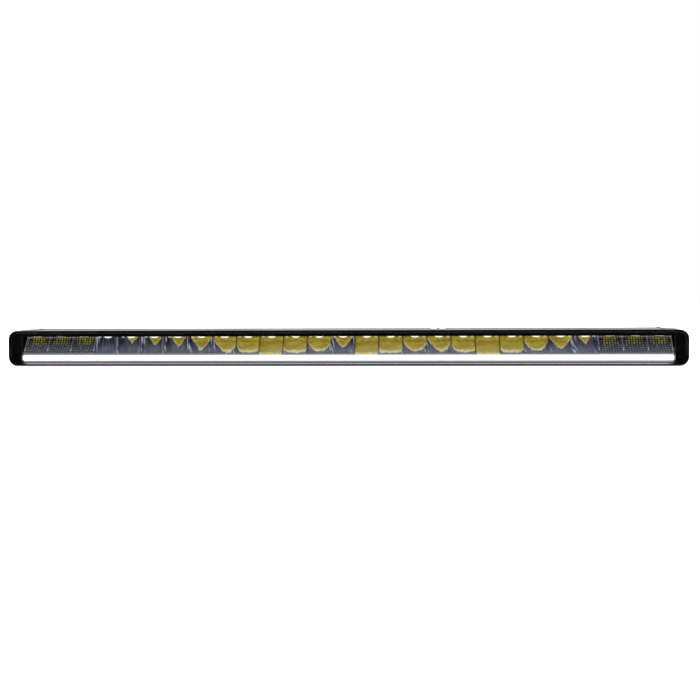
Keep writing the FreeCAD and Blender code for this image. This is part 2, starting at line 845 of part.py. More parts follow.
def lug_screws():
    """Two socket-head screws per bracket, from behind into the slot's plate."""
    found = []
    for x in lug_screw_xs():
        head = along_y(4.8, x, flange_back, flange_back + 6.0, slot_middle)
        shank = along_y(m6_radius, x, slot_front + 1.5, flange_back, slot_middle)
        socket = hexagon(5.0, 4.0, at(x, flange_back + 3.0, slot_middle), Y_AXIS)
        found.append(joined([head, shank]).cut(socket))
    return found


def ear_outline():
    """Side view of an ear, in depth and height: wide at the plate, narrow at the eye."""
    return [
        (foot_front, 0.0),
        (foot_front + 22.0, 0.0),
        (foot_front + 22.0, foot_thickness),
        (pivot_depth + ear_radius * 0.94, pivot_height - ear_radius * 0.34),
        (pivot_depth, pivot_height),
        (pivot_depth - ear_radius, pivot_height),
        (pivot_depth - ear_radius, pivot_height - 8.0),
        (foot_front, foot_thickness + 5.0),
    ]


def bracket_foot():
    """Pressed foot: a plate with a bolt hole and two ears that straddle the tongue."""
    inner = tongue_half + ear_gap
    plate = block(bracket_x - foot_half, bracket_x + foot_half, foot_front, total_depth, 0.0, foot_thickness)
    corners = edges_on_line(plate, Z_AXIS, lambda x, depth, z: depth > foot_front + 1)
    plate = plate.makeFillet(7.0, corners)
    pieces = [plate]
    for side in (-1, 1):
        near = bracket_x + side * inner
        far = near + side * ear_thickness
        x0, x1 = min(near, far), max(near, far)
        pieces.append(prism(ear_outline(), x0, x1))
        pieces.append(along_x(ear_radius, x0, x1, pivot_depth, pivot_height))
    body = joined(pieces)
    bore = along_x(
        pivot_bolt_radius + pivot_clearance,
        bracket_x - 20.0,
        bracket_x + 20.0,
        pivot_depth,
        pivot_height,
    )
    hole = along_z(foot_hole_radius, bracket_x, foot_hole_depth, -1.0, foot_thickness + 1.0)
    return body.cut([bore, hole])


def washer_places():
    outer = tongue_half + ear_gap + ear_thickness
    return [(bracket_x - outer - 1.6, bracket_x - outer), (bracket_x + outer, bracket_x + outer + 1.6)]


def pivot_bolt():
    """Hex-head bolt that the foot is clamped to the tongue with."""
    left_washer, right_washer = washer_places()
    head = hexagon(13.0, 5.3, at(left_washer[0] - 5.3, pivot_depth, pivot_height), X_AXIS)
    shank = along_x(pivot_bolt_radius, left_washer[0], right_washer[1] + 10.0, pivot_depth, pivot_height)
    return joined([head, shank])


def pivot_nut():
    right_washer = washer_places()[1]
    nut = hexagon(13.0, 8.0, at(right_washer[1], pivot_depth, pivot_height), X_AXIS)
    return nut.cut(along_x(pivot_bolt_radius + 0.02, bracket_x, bracket_x + 40.0, pivot_depth, pivot_height))


def pivot_washers():
    found = []
    for x0, x1 in washer_places():
        disc = along_x(8.0, x0, x1, pivot_depth, pivot_height)
        found.append(disc.cut(along_x(pivot_bolt_radius + 0.2, x0 - 1, x1 + 1, pivot_depth, pivot_height)))
    return found


def moved(shape, x):
    copy = shape.copy()
    copy.translate(FreeCAD.Vector(x, 0, 0))
    return copy


# ---- write every node ----------------------------------------------------------------
os.makedirs("parts", exist_ok=True)

save("front_bezel", front_bezel())
save("front_lens", lens())
save("lens_seal", lens_seal())
save("bezel_gasket", bezel_gasket())
save("inner_trim", inner_trim())
save("bezel_screws", [bezel_screw(x, z) for x, z in bezel_screw_places()])
save("housing", housing())

right_cap = end_cap()
save("end_cap_right", right_cap)
save("end_cap_left", mirrored(right_cap))
save("end_gasket_right", end_gasket())
save("end_gasket_left", mirrored(end_gasket()))
save("end_cap_screws", cap_screws() + [mirrored(screw) for screw in cap_screws()])

modules = module_middles()
module_names = ["flood_left", "spot_left", "spot_middle", "spot_right", "flood_right"]
cells = {
    "spot": reflector_cell(spot_hollow, spot_vertex, []),
    "flood": reflector_cell(flood_hollow, flood_vertex, flood_side_walls()),
}
for name, middles in zip(module_names, modules):
    save(name + "_reflector", reflector(middles, cells[name.split("_")[0]]))
    save(name + "_board", optic_board(middles))
save("thermal_pads", [thermal_pad(middles) for middles in modules])
spot_focus = spot_vertex - spot_focal
flood_focus = flood_vertex - flood_focal
save("spot_leds", [light_source(x, spot_focus) for middles in modules[1:4] for x in middles])
save("flood_leds", [flat_light_source(x, flood_focus) for x in modules[0] + modules[4]])
save("optic_screws", [optic_screw(x) for middles in modules for x in screw_places(middles)])

save("position_light_guide", light_guide())
save("position_light_tray", light_tray())
save("position_light_board", strip_board())
save("position_light_leds", strip_leds())

save("driver_board", driver_board())
save("driver_spacers", [driver_spacer(x, depth) for x, depth in driver_posts()])
save("driver_screws", [driver_screw(x, depth) for x, depth in driver_posts()])
save("driver_inductors", driver_inductors())
save("driver_capacitors", driver_capacitors())
save("driver_chips", driver_chips())

save("gland_body", gland_body())
save("gland_cap", gland_cap())
save("gland_seal", gland_seal())
save("gland_washer", gland_washer())
save("gland_nut", gland_nut())
save("pressure_vent", pressure_vent())

for side, shift in (("right", 0.0), ("left", -2 * bracket_x)):
    save("t_nut_" + side, moved(t_nut(), shift))
    save("pivot_lug_" + side, moved(pivot_lug(), shift))
    save("lug_screws_" + side, [moved(screw, shift) for screw in lug_screws()])
    save("bracket_foot_" + side, moved(bracket_foot(), shift))
    save("pivot_bolt_" + side, moved(pivot_bolt(), shift))
    save("pivot_nut_" + side, moved(pivot_nut(), shift))
    save("pivot_washers_" + side, [moved(washer, shift) for washer in pivot_washers()])
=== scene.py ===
import json
import math

import bmesh
import bpy
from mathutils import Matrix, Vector


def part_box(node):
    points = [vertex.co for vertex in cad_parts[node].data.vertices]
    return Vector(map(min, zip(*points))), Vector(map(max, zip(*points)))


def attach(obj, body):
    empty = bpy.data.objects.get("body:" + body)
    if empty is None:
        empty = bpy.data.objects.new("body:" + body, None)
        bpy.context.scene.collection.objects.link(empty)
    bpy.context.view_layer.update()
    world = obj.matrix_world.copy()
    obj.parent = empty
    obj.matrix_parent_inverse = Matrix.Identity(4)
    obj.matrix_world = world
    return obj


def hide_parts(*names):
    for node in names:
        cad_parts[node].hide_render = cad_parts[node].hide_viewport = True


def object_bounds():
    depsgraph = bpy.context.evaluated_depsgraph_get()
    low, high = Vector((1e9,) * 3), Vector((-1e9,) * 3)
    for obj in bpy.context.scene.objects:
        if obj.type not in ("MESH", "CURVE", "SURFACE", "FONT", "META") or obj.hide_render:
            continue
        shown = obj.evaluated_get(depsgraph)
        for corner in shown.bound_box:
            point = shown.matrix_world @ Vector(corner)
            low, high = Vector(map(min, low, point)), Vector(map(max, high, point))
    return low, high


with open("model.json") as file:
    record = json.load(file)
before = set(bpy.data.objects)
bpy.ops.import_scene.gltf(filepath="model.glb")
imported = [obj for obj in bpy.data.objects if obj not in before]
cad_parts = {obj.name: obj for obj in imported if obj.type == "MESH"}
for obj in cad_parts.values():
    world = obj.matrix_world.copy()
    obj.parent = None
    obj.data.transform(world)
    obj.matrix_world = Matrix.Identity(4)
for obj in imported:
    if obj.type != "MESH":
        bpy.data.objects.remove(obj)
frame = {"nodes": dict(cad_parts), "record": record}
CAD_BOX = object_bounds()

MM = 0.001

# ---- sizes of the optics, in metres --------------------------------------------------------------
SPOT_MODULES = ("spot_left", "spot_middle", "spot_right")
FLOOD_MODULES = ("flood_left", "flood_right")
SPOT_CELLS = 7
FLOOD_CELLS = 3
MODULE_GAP = 0.4 * MM
middle_low, middle_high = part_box("spot_middle_reflector")
PITCH = (middle_high.x - middle_low.x + MODULE_GAP) / SPOT_CELLS
REFLECTOR_FRONT = middle_low.y
REFLECTOR_TOP = middle_high.z
REFLECTOR_FOOT = middle_low.z
LEDGE_TOP = REFLECTOR_FOOT + 2.4 * MM
FACE_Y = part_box("front_bezel")[0].y
SPOT_VERTEX = FACE_Y + 38.0 * MM
SPOT_FOCAL = 9.1 * MM
FLOOD_VERTEX = FACE_Y + 32.5 * MM
FLOOD_FOCAL = 7.6 * MM
SKIN = 1.2 * MM

# Mesh of the spot bowls, and the shares of its rows that the ledge and the floor take.
BOWL_COLUMNS = 24
BOWL_ROWS = 50
LEDGE_SHARE = 0.08
FLOOR_SHARE = 0.20
BOWL_CREASE = 30

# Facets of a flood cell, the mesh steps across each, how far each swells, and the share of the
# swelling that also goes upwards.
FACET_COLUMNS = 9
FACET_ROWS = 8
FACET_STEPS = 5
FACET_SWELL = 0.8 * MM
FACET_RISE = 0.6
FACET_SETBACK = 0.2 * MM
FACET_CREASE = 35

# Where the yellow light source's painted reflection shows in a flood cell: its middle as a share of
# the cell's width, the columns to either side that it fills and then fades over, and the shares of
# the height where it starts and is full.
YELLOW_MIDDLE = 0.52
YELLOW_COLUMNS = 2.2
YELLOW_COLUMNS_END = 3.4
YELLOW_FOOT = 0.42
YELLOW_FULL = 0.55

# Walls and ledge of the flood modules.
WALL_THICKNESS = 1.0 * MM
WALL_INSET = 0.6 * MM
WALL_TOP_FRONT = FACE_Y + 30.5 * MM
WALL_FOOT_STEP = 1.0 * MM
WALL_FOOT_RISE = 0.3 * MM
LEDGE_DEPTH = 1.5 * MM

# ---- light ---------------------------------------------------------------------------------------
# Brightness of the lit strip as the eye sees it, and as the parts around it do.
STRIP_SEEN = 1.0
STRIP_CAST = 1.7

# Light that the mirrored cells and the LEDs show: the cells glow with their painted reflections, the
# lit position LEDs with lamp light, and the unlit spot and flood LEDs with a painted highlight.
BOWL_PAINTED_GLOW = 0.95
FACET_PAINTED_GLOW = 0.8
LED_GLOW = 0.5

# The lens sheet carries a little of the strip's light down to its lower edge: a band that fades
# upwards, and a brighter line in it. Both fade out towards the ends of the lens.
LENS_IOR = 1.45
LENS_LINE = 3.7 * MM
LENS_LINE_CORE = 0.3 * MM
LENS_LINE_HALF = 0.9 * MM
LENS_BAND_FULL = 4.0 * MM
LENS_BAND_END = 6.6 * MM
LENS_BAND_SHARE = 0.25
LENS_GLOW_HALF = 509.0 * MM
LENS_GLOW_FADE = 14.0 * MM
LENS_GLOW = 0.34

FLOOR_HALF = 20.0
FLOOR_DROP = 0.5 * MM
FLOOR_GLOW = 0.95

CAMERA_PLACE = (0.1198, -1.700, 0.0997)
CAMERA_DOWN = 2.598
CAMERA_ROLL = 0.24
CAMERA_TURN = 3.72
CAMERA_LENS = 54.63
CAMERA_SENSOR = 36.0

# ---- colours of the mirrored cells: painted reflections, glints and sheen ------------------------
WHITE = (1.0, 1.0, 1.0, 1.0)
AMBER_REFLECTION_DARK = (0.158, 0.114, 0.004, 1.0)
AMBER_REFLECTION_LIGHT = (0.270, 0.214, 0.013, 1.0)
AMBER_REFLECTION_LOW_DOWN = (0.40, 0.36, 0.11, 1.0)
AMBER_REFLECTION_RIM = (0.74, 0.68, 0.38, 1.0)
AMBER_REFLECTION_SEAM = (0.045, 0.03, 0.012, 1.0)
STEEL_REFLECTION_HIGH_UP = (0.006, 0.006, 0.010, 1.0)
STEEL_REFLECTION_LOW_DOWN = (0.088, 0.096, 0.134, 1.0)
STEEL_PAINTED_SHEEN = (0.16, 0.17, 0.21, 1.0)
STEEL_PAINTED_GLINT = (0.42, 0.45, 0.52, 1.0)
LEDGE_PAINTED_SHEEN = (0.27, 0.285, 0.33, 1.0)
SECOND_PAINTED_REFLECTION = (0.75, 0.77, 0.78, 1.0)
FACET_REFLECTION_LOW_DOWN = (0.118, 0.138, 0.172, 1.0)
FACET_REFLECTION_HIGH_UP = (0.008, 0.008, 0.008, 1.0)
FACET_TOP_ROW_HIGHLIGHT = (0.28, 0.28, 0.26, 1.0)
FACET_PAINTED_GLINT = (0.30, 0.32, 0.35, 1.0)
FACET_AMBER_REFLECTION_DARK = (0.13, 0.10, 0.004, 1.0)
FACET_AMBER_REFLECTION_LIGHT = (0.34, 0.28, 0.03, 1.0)

# How the yellow light source's painted reflection lies in each spot bowl, left to right: how far
# down it reaches, its half width at the top, how far its foot leans, and how blunt it is.
PAINTED_AMBER_REFLECTIONS = (
    (0.00, 0.50, 0.00, 1.0),
    (0.42, 0.56, -0.22, 1.1),
    (0.60, 0.60, 0.02, 1.2),
    (0.68, 0.68, 0.04, 1.2),
    (0.84, 0.92, -0.04, 1.4),
    (0.96, 1.20, 0.34, 2.2),
    (0.96, 1.18, 0.14, 5.5),
    (1.12, 1.40, 0.00, 9.0),
    (0.97, 1.20, 0.06, 8.0),
    (0.90, 1.25, 0.06, 2.6),
    (0.70, 0.84, -0.10, 1.5),
    (1.12, 1.40, 0.00, 9.0),
    (0.98, 1.20, 0.00, 8.0),
    (0.93, 1.25, 0.12, 2.3),
    (0.93, 1.20, 0.28, 1.9),
    (0.95, 1.18, 0.12, 6.0),
    (1.12, 1.40, 0.00, 9.0),
    (0.97, 1.20, 0.00, 8.0),
    (0.90, 1.22, 0.02, 2.3),
    (0.78, 1.02, 0.06, 1.5),
    (0.52, 0.56, 0.18, 1.2),
)
# A colour attribute carries these to the material, with the bluntness scaled down as its alpha.
BLUNT_SCALE = 10.0

# The light source's second, small painted reflection in a bowl: its place as a share of the bowl's half
# width.
SECOND_PLACE = 0.74
SECOND_HALF = 0.05
SECOND_HALF_END = 0.13


# ---- node helpers, for shader and geometry trees -------------------------------------------------
def new_tree(kind, name, inputs, outputs):
    """An empty node group with named sockets, and its input and output nodes."""
    tree = bpy.data.node_groups.new(name, kind)
    kinds = {"f": "NodeSocketFloat", "c": "NodeSocketColor", "v": "NodeSocketVector",
             "m": "NodeSocketMaterial", "g": "NodeSocketGeometry"}
    for label, letter, *value in inputs:
        socket = tree.interface.new_socket(label, in_out="INPUT", socket_type=kinds[letter])
        if value:
            socket.default_value = value[0]
    for label, letter in outputs:
        tree.interface.new_socket(label, in_out="OUTPUT", socket_type=kinds[letter])
    return tree, tree.nodes.new("NodeGroupInput"), tree.nodes.new("NodeGroupOutput")


def feed(tree, socket, value):
    """Gives an input a plain value or a link."""
    if isinstance(value, bpy.types.NodeSocket):
        tree.links.new(value, socket)
    else:
        socket.default_value = value


def math_node(tree, operation, *values, clamp=False):
    node = tree.nodes.new("ShaderNodeMath")
    node.operation = operation
    node.use_clamp = clamp
    for socket, value in zip(node.inputs, values):
        feed(tree, socket, value)
    return node.outputs[0]


def plus(tree, a, b):
    return math_node(tree, "ADD", a, b)


def minus(tree, a, b):
    return math_node(tree, "SUBTRACT", a, b)


def times(tree, first, *others):
    product = first
    for other in others:
        product = math_node(tree, "MULTIPLY", product, other)
    return product


def over(tree, a, b):
    return math_node(tree, "DIVIDE", a, b)


def share(tree, a, b):
    """a over b, kept between 0 and 1."""
    return math_node(tree, "DIVIDE", a, b, clamp=True)


def times_plus(tree, a, b, c):
    return math_node(tree, "MULTIPLY_ADD", a, b, c)


def flipped(tree, a):
    """1 less a."""
    return math_node(tree, "SUBTRACT", 1.0, a)


def magnitude(tree, a):
    return math_node(tree, "ABSOLUTE", a)


def centred(tree, a):
    return math_node(tree, "SUBTRACT", a, 0.5)


def combine(tree, x, y, z):
    node = tree.nodes.new("ShaderNodeCombineXYZ")
    for socket, value in zip(node.inputs, (x, y, z)):
        feed(tree, socket, value)
    return node.outputs[0]


def axes(tree, vector):
    """The X, Y and Z parts of a vector."""
    node = tree.nodes.new("ShaderNodeSeparateXYZ")
    tree.links.new(vector, node.inputs[0])
    return tuple(node.outputs)


# ---- shader helpers ------------------------------------------------------------------------------
def object_place(tree):
    return tree.nodes.new("ShaderNodeTexCoord").outputs["Object"]


def ramp_between(tree, value, low, high):
    """0 below low, 1 above high, smooth in between."""
    node = tree.nodes.new("ShaderNodeMapRange")
    node.interpolation_type = "SMOOTHSTEP"
    feed(tree, node.inputs["Value"], value)
    node.inputs["From Min"].default_value = low
    node.inputs["From Max"].default_value = high
    return node.outputs["Result"]


def mix_colours(tree, factor, a, b, blend="MIX"):
    node = tree.nodes.new("ShaderNodeMix")
    node.data_type = "RGBA"
    node.blend_type = blend
    feed(tree, node.inputs[0], factor)
    feed(tree, node.inputs[6], a)
    feed(tree, node.inputs[7], b)
    return node.outputs[2]


def dimmed(tree, colour, level):
    """A colour times a level that is the same in red, green and blue."""
    if not isinstance(level, bpy.types.NodeSocket):
        level = grey(level)
    return mix_colours(tree, 1.0, colour, level, "MULTIPLY")


def noise_on(tree, vector, scale, detail):
    node = tree.nodes.new("ShaderNodeTexNoise")
    node.inputs["Detail"].default_value = detail
    tree.links.new(vector, node.inputs["Vector"])
    feed(tree, node.inputs["Scale"], scale)
    return node.outputs["Fac"]


def stretched_noise(tree, vector, stretch, detail):
    """Noise on a vector that is first scaled by axis."""
    mapping = tree.nodes.new("ShaderNodeMapping")
    mapping.inputs["Scale"].default_value = stretch
    tree.links.new(vector, mapping.inputs["Vector"])
    return noise_on(tree, mapping.outputs[0], 1.0, detail)


def bump_of(tree, height, distance):
    node = tree.nodes.new("ShaderNodeBump")
    node.inputs["Strength"].default_value = 1.0
    feed(tree, node.inputs["Distance"], distance)
    feed(tree, node.inputs["Height"], height)
    return node.outputs["Normal"]


def grey(level, blue=0.0):
    """A grey with a share of extra blue."""
    return (level, level, level * (1.0 + blue), 1.0)


def new_material(name):
    """A node material, its tree and its Principled shader."""
    material = bpy.data.materials.new(name)
    material.use_nodes = True
    return material, material.node_tree, material.node_tree.nodes["Principled BSDF"]


# ---- surface groups ------------------------------------------------------------------------------
def surface_group(name, second_colour, *numbers):
    """An empty group for a surface of two colours that puts out colour, roughness and normal."""
    inputs = (("Colour", "c"), (second_colour, "c"), *numbers)
    return new_tree("ShaderNodeTree", name, inputs, (("Colour", "c"), ("Roughness", "f"), ("Normal", "v")))


def close_group(tree, sink, colour, rough, normal):
    tree.links.new(colour, sink.inputs["Colour"])
    tree.links.new(rough, sink.inputs["Roughness"])
    tree.links.new(normal, sink.inputs["Normal"])
    return tree


def powder_coat_group():
    """Fine orange peel with a faint change of shade and dust that settles unevenly."""
    tree, source, sink = surface_group("PowderCoat", "Dusty Colour", ("Grain", "f", 1500.0),
                                       ("Roughness", "f", 0.45), ("Depth", "f", 0.00003))
    give = source.outputs
    place = object_place(tree)
    peel = noise_on(tree, place, give["Grain"], 3.0)
    dust = stretched_noise(tree, place, (18.0, 60.0, 90.0), 6.0)
    colour = mix_colours(tree, ramp_between(tree, dust, 0.48, 0.78), give["Colour"], give["Dusty Colour"])
    rough = times_plus(tree, centred(tree, dust), 0.35, give["Roughness"])
    return close_group(tree, sink, colour, rough, bump_of(tree, peel, give["Depth"]))


def draw_lines_group():
    """Lines that an extrusion or a brushed part keeps along one axis."""
    tree, source, sink = surface_group("DrawLines", "Line Colour", ("Roughness", "f", 0.35),
                                       ("Depth", "f", 0.00002), ("Stretch", "v", (3.0, 2600.0, 2600.0)))
    give = source.outputs
    place = object_place(tree)
    stretched = tree.nodes.new("ShaderNodeVectorMath")
    stretched.operation = "MULTIPLY"
    tree.links.new(place, stretched.inputs[0])
    tree.links.new(give["Stretch"], stretched.inputs[1])
    lines = noise_on(tree, stretched.outputs[0], 1.0, 5.0)
    smear = stretched_noise(tree, place, (9.0, 40.0, 70.0), 5.0)
    mask = ramp_between(tree, lines, 0.42, 0.66)
    colour = mix_colours(tree, mask, give["Colour"], give["Line Colour"])
    wavering = times_plus(tree, centred(tree, smear), 0.3, give["Roughness"])
    rough = times_plus(tree, mask, 0.08, wavering)
    return close_group(tree, sink, colour, rough, bump_of(tree, lines, give["Depth"]))


def speckle_group():
    """Moulded or laminated stock: fine mottling, tiny specks and a soft surface ripple."""
    tree, source, sink = surface_group("Speckle", "Speck Colour", ("Grain", "f", 900.0),
                                       ("Roughness", "f", 0.5), ("Depth", "f", 0.00002))
    give = source.outputs
    grain = noise_on(tree, object_place(tree), give["Grain"], 6.0)
    colour = mix_colours(tree, ramp_between(tree, grain, 0.5, 0.72), give["Colour"], give["Speck Colour"])
    rough = times_plus(tree, grain, 0.2, give["Roughness"])
    return close_group(tree, sink, colour, rough, bump_of(tree, grain, give["Depth"]))


POWDER = powder_coat_group()
DRAWN = draw_lines_group()
SPECKLE = speckle_group()


def finish(name, group, values, metallic=0.0, coat=0.0):
    """A Principled material whose colour, roughness and normal come from one group."""
    material, tree, shader = new_material(name)
    shader.inputs["Metallic"].default_value = metallic
    shader.inputs["Coat Weight"].default_value = coat
    shader.inputs["Coat Roughness"].default_value = 0.12
    node = tree.nodes.new("ShaderNodeGroup")
    node.node_tree = group
    for label, value in values.items():
        node.inputs[label].default_value = value
    tree.links.new(node.outputs["Colour"], shader.inputs["Base Color"])
    tree.links.new(node.outputs["Roughness"], shader.inputs["Roughness"])
    tree.links.new(node.outputs["Normal"], shader.inputs["Normal"])
    return material


def coated(name, level, roughness, grain=1500.0, coat=0.0):
    """Powder coat or smooth black paint."""
    values = {"Colour": grey(level, 0.1), "Dusty Colour": grey(level * 1.8, 0.08), "Grain": grain,
              "Roughness": roughness, "Depth": 0.02 * MM}
    return finish(name, POWDER, values, coat=coat)


def drawn(name, level, line_level, roughness, stretch, metallic):
    """Extruded, turned or brushed metal."""
    values = {"Colour": grey(level, 0.03), "Line Colour": grey(line_level, 0.03), "Roughness": roughness,
              "Depth": 0.01 * MM, "Stretch": stretch}
    return finish(name, DRAWN, values, metallic=metallic)


def speckled(name, colour, speck, roughness, grain=900.0, metallic=0.0):
    """Rubber, moulded plastic or board."""
    values = {"Colour": colour, "Speck Colour": speck, "Grain": grain, "Roughness": roughness,
              "Depth": 0.01 * MM}
    return finish(name, SPECKLE, values, metallic=metallic)


# ---- special materials ---------------------------------------------------------------------------
def self_lit(tree, shader, colour, strength):
    """Adds light of a varying colour and an even strength."""
    tree.links.new(colour, shader.inputs["Emission Color"])
    shader.inputs["Emission Strength"].default_value = strength


def lens_glow(tree, place):
    """How strongly each place on the lens is lit by the strip above its lower edge."""
    along, _, height = axes(tree, place)
    band = flipped(tree, ramp_between(tree, height, LENS_BAND_FULL, LENS_BAND_END))
    off_line = magnitude(tree, minus(tree, height, LENS_LINE))
    line = flipped(tree, ramp_between(tree, off_line, LENS_LINE_CORE, LENS_LINE_HALF))
    edge = plus(tree, times(tree, band, LENS_BAND_SHARE), line)
    fade_from = LENS_GLOW_HALF - LENS_GLOW_FADE
    inward = flipped(tree, ramp_between(tree, magnitude(tree, along), fade_from, LENS_GLOW_HALF))
    return times(tree, edge, inward, LENS_GLOW)


def clear_lens():
    """Clear polycarbonate: what lies behind shows through, and gloss and a little light are added."""
    material, tree, unused = new_material("clear_polycarbonate")
    tree.nodes.remove(unused)
    place = object_place(tree)
    haze = stretched_noise(tree, place, (40.0, 40.0, 160.0), 6.0)
    clear = tree.nodes.new("ShaderNodeBsdfTransparent")
    gloss = tree.nodes.new("ShaderNodeBsdfGlossy")
    tree.links.new(times_plus(tree, haze, 0.05, 0.02), gloss.inputs["Roughness"])
    fresnel = tree.nodes.new("ShaderNodeFresnel")
    fresnel.inputs["IOR"].default_value = LENS_IOR
    entering = flipped(tree, tree.nodes.new("ShaderNodeNewGeometry").outputs["Backfacing"])
    sheet = tree.nodes.new("ShaderNodeMixShader")
    tree.links.new(times(tree, fresnel.outputs[0], entering), sheet.inputs[0])
    tree.links.new(clear.outputs[0], sheet.inputs[1])
    tree.links.new(gloss.outputs[0], sheet.inputs[2])
    lit = tree.nodes.new("ShaderNodeEmission")
    lit.inputs["Color"].default_value = (0.86, 0.9, 1.0, 1.0)
    tree.links.new(lens_glow(tree, place), lit.inputs["Strength"])
    total = tree.nodes.new("ShaderNodeAddShader")
    tree.links.new(sheet.outputs[0], total.inputs[0])
    tree.links.new(lit.outputs[0], total.inputs[1])
    tree.links.new(total.outputs[0], tree.nodes["Material Output"].inputs["Surface"])
    return material


def lit_opal():
    """Opal light guide, evenly lit, with a faint milkiness."""
    material, tree, shader = new_material("lit_opal")
    milk = stretched_noise(tree, object_place(tree), (25.0, 300.0, 500.0), 4.0)
    shader.inputs["Base Color"].default_value = (0.9, 0.93, 0.97, 1.0)
    eye = tree.nodes.new("ShaderNodeLightPath").outputs["Is Camera Ray"]
    strength = times_plus(tree, eye, STRIP_SEEN - STRIP_CAST, STRIP_CAST)
    tree.links.new(strength, shader.inputs["Emission Strength"])
    tree.links.new(mix_colours(tree, milk, (0.93, 0.96, 1.0, 1.0), WHITE), shader.inputs["Emission Color"])
    tree.links.new(times_plus(tree, milk, 0.2, 0.25), shader.inputs["Roughness"])
    return material


def glowing(name, low_colour, high_colour, strength, roughness):
    """The face of an LED: lamp light on the lit position LEDs, a painted highlight on the spot and flood
    LEDs, which are off.
    """
    material, tree, shader = new_material(name)
    mottle = stretched_noise(tree, object_place(tree), (500.0, 500.0, 500.0), 3.0)
    colour = mix_colours(tree, mottle, low_colour, high_colour)
    tree.links.new(colour, shader.inputs["Base Color"])
    self_lit(tree, shader, colour, strength)
    tree.links.new(times_plus(tree, mottle, 0.1, roughness), shader.inputs["Roughness"])
    return material


def bowl_map(tree):
    """The two parts of a reflector's own UV map."""
    uv = tree.nodes.new("ShaderNodeUVMap")
    uv.uv_map = "bowl"
    return axes(tree, uv.outputs[0])[:2]


def painted_amber_values(tree):
    """What the table of painted amber reflections says for this bowl: depth, half width, lean and bluntness.
    """
    patch = tree.nodes.new("ShaderNodeAttribute")
    patch.attribute_name = "painted_amber_reflection"
    parts = tree.nodes.new("ShaderNodeSeparateColor")
    tree.links.new(patch.outputs["Color"], parts.inputs[0])
    depth, half_width, lean = parts.outputs[:3]
    return depth, half_width, lean, times(tree, patch.outputs["Alpha"], BLUNT_SCALE)


def bowl_amber_reflection(tree, across, up, down, waver, depth, rim):
    """The yellow light source's painted reflection: streaked, paler low down and at its rim, dark at the
    seams of the cells.
    """
    bend = times_plus(tree, waver, 0.5, up)
    streak_place = combine(tree, times(tree, across, 0.6), times(tree, bend, 7.0), times(tree, depth, 9.0))
    streaks = stretched_noise(tree, streak_place, (1.0, 1.0, 1.0), 3.0)
    painted_amber = mix_colours(tree, ramp_between(tree, streaks, 0.38, 0.64), AMBER_REFLECTION_DARK, AMBER_REFLECTION_LIGHT)
    low_down = ramp_between(tree, down, 0.45, 1.0)
    painted_amber = mix_colours(tree, times(tree, low_down, 0.45), painted_amber, AMBER_REFLECTION_LOW_DOWN)
    painted_amber = mix_colours(tree, times(tree, rim, times_plus(tree, low_down, 0.5, 0.15)), painted_amber, AMBER_REFLECTION_RIM)
    seam = ramp_between(tree, magnitude(tree, across), 0.90, 0.98)
    return mix_colours(tree, times(tree, seam, 0.85), painted_amber, AMBER_REFLECTION_SEAM)


def bowl_steel_reflection(tree, across, up, down, along):
    """Painted reflection on the bare metallising: dark at the top, lighter at the foot, with a soft painted
    sheen, painted glints near the cells' sides and a painted sheen on the ledge.
    """
    curl = times_plus(tree, times(tree, down, down), -0.35, across)
    fan = combine(tree, times(tree, curl, 7.0), times(tree, up, 1.3), times(tree, along, 40.0))
    glints = stretched_noise(tree, fan, (1.0, 1.0, 1.0), 4.0)
    near_side = ramp_between(tree, magnitude(tree, across), 0.55, 0.98)
    bright = times(tree, ramp_between(tree, glints, 0.52, 0.66), near_side)
    steel_reflection = mix_colours(tree, ramp_between(tree, down, 0.25, 1.1), STEEL_REFLECTION_HIGH_UP, STEEL_REFLECTION_LOW_DOWN)
    steel_reflection = mix_colours(tree, times(tree, ramp_between(tree, glints, 0.35, 0.75), 0.30), steel_reflection, STEEL_PAINTED_SHEEN)
    steel_reflection = mix_colours(tree, times(tree, bright, 0.8), steel_reflection, STEEL_PAINTED_GLINT)
    ledge = flipped(tree, ramp_between(tree, up, -0.02, 0.02))
    return mix_colours(tree, times(tree, ledge, 0.9), steel_reflection, LEDGE_PAINTED_SHEEN)


